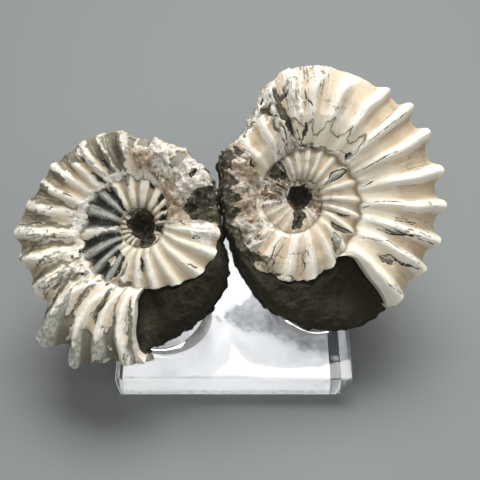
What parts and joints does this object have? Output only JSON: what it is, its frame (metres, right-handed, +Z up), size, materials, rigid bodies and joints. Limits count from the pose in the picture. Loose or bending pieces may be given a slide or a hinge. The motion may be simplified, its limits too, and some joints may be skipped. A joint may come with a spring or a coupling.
{
  "type": "fossil ammonite display",
  "caption": "A pair of ribbed, keeled ammonite fossils, shell and dark stone filling, leaning back on clear risers on a clear bevelled block.",
  "frame": {"origin": "centre of the clear block on the surface it stands on", "axes": "+X to the right along the block's front, +Y away from the viewer, +Z up"},
  "size_m": [0.0902, 0.0588, 0.0512],
  "materials": {
    "clear_acrylic": "polished",
    "left_shell": "satin",
    "right_shell": "satin"
  },
  "bodies": {
    "root": {"stand_base": "clear_acrylic", "left_riser": "clear_acrylic", "right_riser": "clear_acrylic", "left_ammonite": "left_shell", "right_ammonite": "right_shell"}
  },
  "joints": []
}
